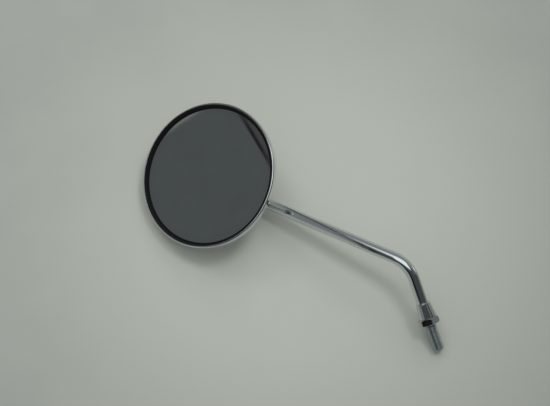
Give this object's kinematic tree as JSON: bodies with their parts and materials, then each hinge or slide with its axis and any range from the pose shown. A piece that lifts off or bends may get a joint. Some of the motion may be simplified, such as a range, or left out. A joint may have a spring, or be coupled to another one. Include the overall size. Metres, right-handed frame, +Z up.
{
  "type": "motorcycle mirror",
  "caption": "Round chrome rear-view mirror on a bent rod stem with a threaded stud, tapered collar and lock nut; its head swivels on a sprung ball joint.",
  "frame": {"origin": "on the stud's axis, at the lower face of the lock nut, where the handlebar clamp's face lies", "axes": "+Z up the stud from its threaded end, -Y towards the rider, so that the glass faces -Y, and the stem bends over towards -X"},
  "size_m": [0.2129, 0.0656, 0.268],
  "materials": {
    "stem_chrome": "bright chrome plate on drawn steel rod",
    "collar_chrome": "bright chrome plate on a turned taper",
    "nut_chrome": "chrome plate, slightly dulled on the flats",
    "shell_chrome": "bright chrome plate on pressed steel",
    "bezel_chrome": "bright chrome plate on a rolled ring",
    "mirror_coat": "silvered glass with a dark tint",
    "seal_rubber": "black rubber, satin",
    "ball_steel": "turned and polished",
    "clamp_steel": "zinc plated sheet",
    "spring_steel": "oiled spring steel",
    "seat_plastic": "self-lubricating plastic",
    "pad_foam": "closed-cell foam"
  },
  "bodies": {
    "mount": {"stem": "stem_chrome", "pivot_ball": "ball_steel", "taper_collar": "collar_chrome"},
    "nut": {"lock_nut": "nut_chrome"},
    "back_seat": {"outer_seat": "seat_plastic"},
    "front_seat": {"inner_seat": "seat_plastic"},
    "head": {"pressure_cup": "clamp_steel", "clamp_spring": "spring_steel", "clamp_bridge": "clamp_steel", "weld_nuts": "clamp_steel", "lock_washers": "spring_steel", "clamp_screws": "clamp_steel", "socket_doubler": "clamp_steel", "back_shell": "shell_chrome", "bezel_ring": "bezel_chrome", "glass_seal": "seal_rubber", "mirror_glass": "mirror_coat", "backing_pad": "pad_foam", "glass_carrier": "clamp_steel"}
  },
  "joints": [
    {"name": "lock_nut_travel", "type": "slide", "parent": "mount", "child": "nut", "axis": [0, 0, -1], "range_m": [0, 0.016]},
    {"name": "head_turn", "type": "hinge", "parent": "mount", "child": "back_seat", "pos_m": [-0.14306, -0.00485, 0.17338], "axis": [0.6876, 0.1301, -0.7143], "continuous": true},
    {"name": "head_tilt", "type": "hinge", "parent": "back_seat", "child": "front_seat", "pos_m": [-0.14306, -0.00485, 0.17338], "axis": [0.6401, 0.3558, 0.681], "range_deg": [-13, 13]},
    {"name": "head_swing", "type": "hinge", "parent": "front_seat", "child": "head", "pos_m": [-0.14306, -0.00485, 0.17338], "axis": [0.3428, -0.9255, 0.1614], "range_deg": [-13, 13]}
  ]
}
